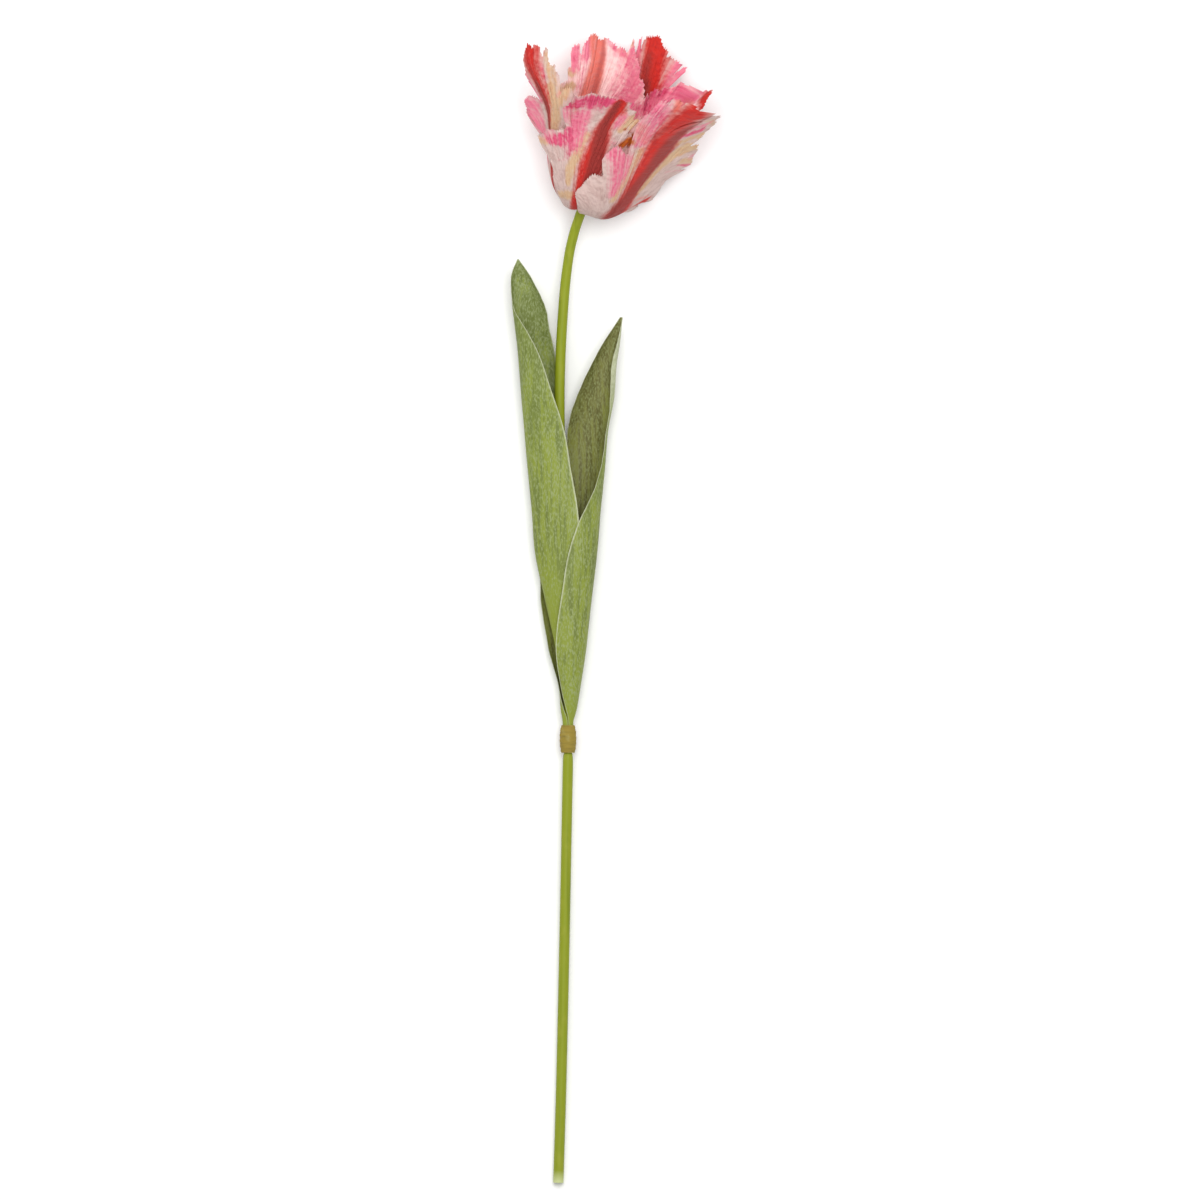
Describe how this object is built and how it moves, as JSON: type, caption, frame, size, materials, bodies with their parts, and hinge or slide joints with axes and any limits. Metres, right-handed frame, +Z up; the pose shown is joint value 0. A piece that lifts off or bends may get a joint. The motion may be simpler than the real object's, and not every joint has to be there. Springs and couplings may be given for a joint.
{
  "type": "parrot tulip",
  "caption": "Cut parrot tulip lying down: ragged red, pink and cream striped petals on a long green stem with two folded leaves and a brown wrap below them.",
  "frame": {"origin": "middle of the outline seen from above, at the height of the surface that the flower lies on", "axes": "+Y along the stem towards the bloom, +Z up, away from the surface, +X to the right when seen from above with the bloom at the top"},
  "size_m": [0.1278, 0.6904, 0.1051],
  "materials": {
    "stem": "waxy plant stem, yellow green",
    "stem_wrap": "matt olive-brown tape",
    "leaf": "waxy leaf, grey green with lengthwise streaks",
    "petal": "soft satin petal, red, pink and cream",
    "pistil": "smooth, pale green",
    "stamen": "powdery, nearly black"
  },
  "bodies": {
    "root": {"stem": "stem", "stem_wrap": "stem_wrap", "leaf_left": "leaf", "leaf_right": "leaf", "petal_front_right": "petal", "petal_front_left": "petal", "petal_left": "petal", "petal_back_left": "petal", "petal_back_right": "petal", "petal_right": "petal", "pistil": "pistil", "stamen_1": "stamen", "stamen_2": "stamen", "stamen_3": "stamen", "stamen_4": "stamen", "stamen_5": "stamen", "stamen_6": "stamen"}
  },
  "joints": []
}
